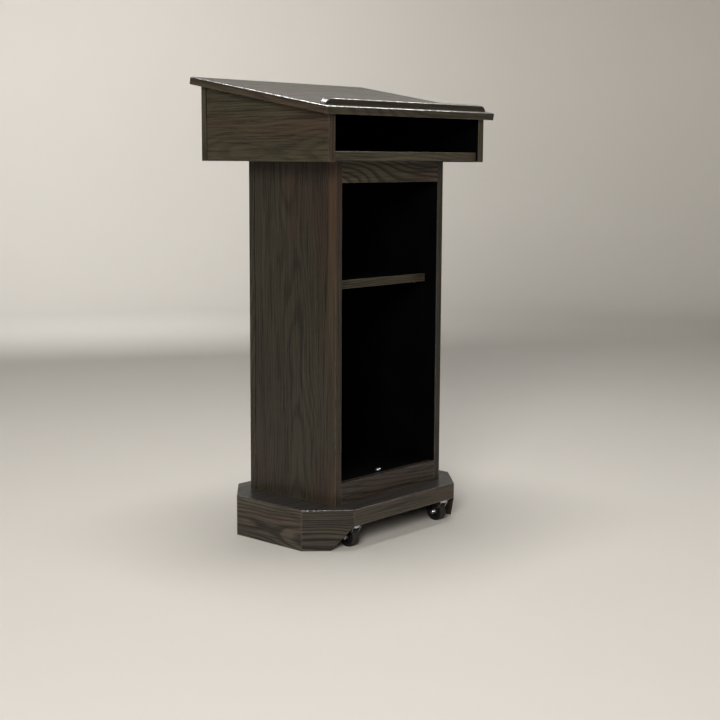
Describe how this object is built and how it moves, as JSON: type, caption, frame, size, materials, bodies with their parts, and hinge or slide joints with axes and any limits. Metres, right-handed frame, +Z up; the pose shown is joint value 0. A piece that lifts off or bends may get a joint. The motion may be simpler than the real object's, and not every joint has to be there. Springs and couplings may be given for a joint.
{
  "type": "lectern",
  "caption": "Dark stained oak lectern with a sloped reading top over an open box, an open column with a shelf, and a plinth that tilts and rolls on swivel casters.",
  "frame": {"origin": "on the floor, at the centre of the object's bounding box", "axes": "+Z up, -Y towards the speaker's open side, +Y towards the audience, +X to the speaker's right"},
  "size_m": [0.648, 0.4741, 1.1674],
  "materials": {
    "stained_oak": "near-black stain on open-grain oak under satin lacquer, with flat black on the faces inside",
    "frame_hardwood": "stained hardwood cleats and blocks, no lacquer",
    "interior_black": "flat black finish of the boards inside the box and the column",
    "zinc_steel": "bright zinc plate",
    "caster_nylon": "moulded black nylon",
    "caster_rubber": "black rubber tread"
  },
  "bodies": {
    "lectern": {"base_bolts": "zinc_steel", "base_nuts": "zinc_steel", "base_washers": "zinc_steel", "book_stop": "stained_oak", "book_stop_screws": "zinc_steel", "box_floor": "stained_oak", "box_front_panel": "stained_oak", "box_side_left": "stained_oak", "box_side_right": "stained_oak", "caster_balls_left": "zinc_steel", "caster_balls_right": "zinc_steel", "caster_block_left": "frame_hardwood", "caster_block_right": "frame_hardwood", "caster_kingpin_left": "zinc_steel", "caster_kingpin_right": "zinc_steel", "caster_plate_left": "zinc_steel", "caster_plate_right": "zinc_steel", "caster_screws_left": "zinc_steel", "caster_screws_right": "zinc_steel", "column_bottom_rail": "stained_oak", "column_cleat_left": "interior_black", "column_cleat_right": "interior_black", "column_cleat_screws": "zinc_steel", "column_floor": "interior_black", "column_front_panel": "stained_oak", "column_side_left": "stained_oak", "column_side_right": "stained_oak", "column_top_rail": "stained_oak", "corner_audience_left": "stained_oak", "corner_audience_right": "stained_oak", "corner_speaker_left": "stained_oak", "corner_speaker_right": "stained_oak", "floor_cleat_audience": "frame_hardwood", "floor_cleat_speaker": "frame_hardwood", "glue_blocks": "frame_hardwood", "plinth_top": "stained_oak", "reading_top": "stained_oak", "shelf_pins": "zinc_steel", "skirt_audience": "stained_oak", "skirt_left": "stained_oak", "skirt_right": "stained_oak", "skirt_speaker": "stained_oak", "top_cleat_left": "interior_black", "top_cleat_right": "interior_black", "top_cleat_screws": "zinc_steel"},
    "shelf": {"middle_shelf": "stained_oak"},
    "caster_swivel_left": {"caster_fork_left": "zinc_steel", "caster_axle_left": "zinc_steel", "caster_nut_left": "zinc_steel"},
    "caster_wheel_left": {"caster_hub_left": "caster_nylon", "caster_tyre_left": "caster_rubber"},
    "caster_swivel_right": {"caster_fork_right": "zinc_steel", "caster_axle_right": "zinc_steel", "caster_nut_right": "zinc_steel"},
    "caster_wheel_right": {"caster_hub_right": "caster_nylon", "caster_tyre_right": "caster_rubber"}
  },
  "joints": [
    {"name": "shelf_slide", "type": "slide", "parent": "lectern", "child": "shelf", "axis": [0, -1, 0], "range_m": [0, 0.085]},
    {"name": "caster_swivel_left", "type": "hinge", "parent": "lectern", "child": "caster_swivel_left", "pos_m": [-0.176, -0.193, 0.057], "axis": [0, 0, 1], "continuous": true},
    {"name": "caster_roll_left", "type": "hinge", "parent": "caster_swivel_left", "child": "caster_wheel_left", "pos_m": [-0.176, -0.177, 0.025], "axis": [1, 0, 0], "continuous": true},
    {"name": "caster_swivel_right", "type": "hinge", "parent": "lectern", "child": "caster_swivel_right", "pos_m": [0.176, -0.193, 0.057], "axis": [0, 0, 1], "continuous": true},
    {"name": "caster_roll_right", "type": "hinge", "parent": "caster_swivel_right", "child": "caster_wheel_right", "pos_m": [0.176, -0.177, 0.025], "axis": [1, 0, 0], "continuous": true}
  ]
}
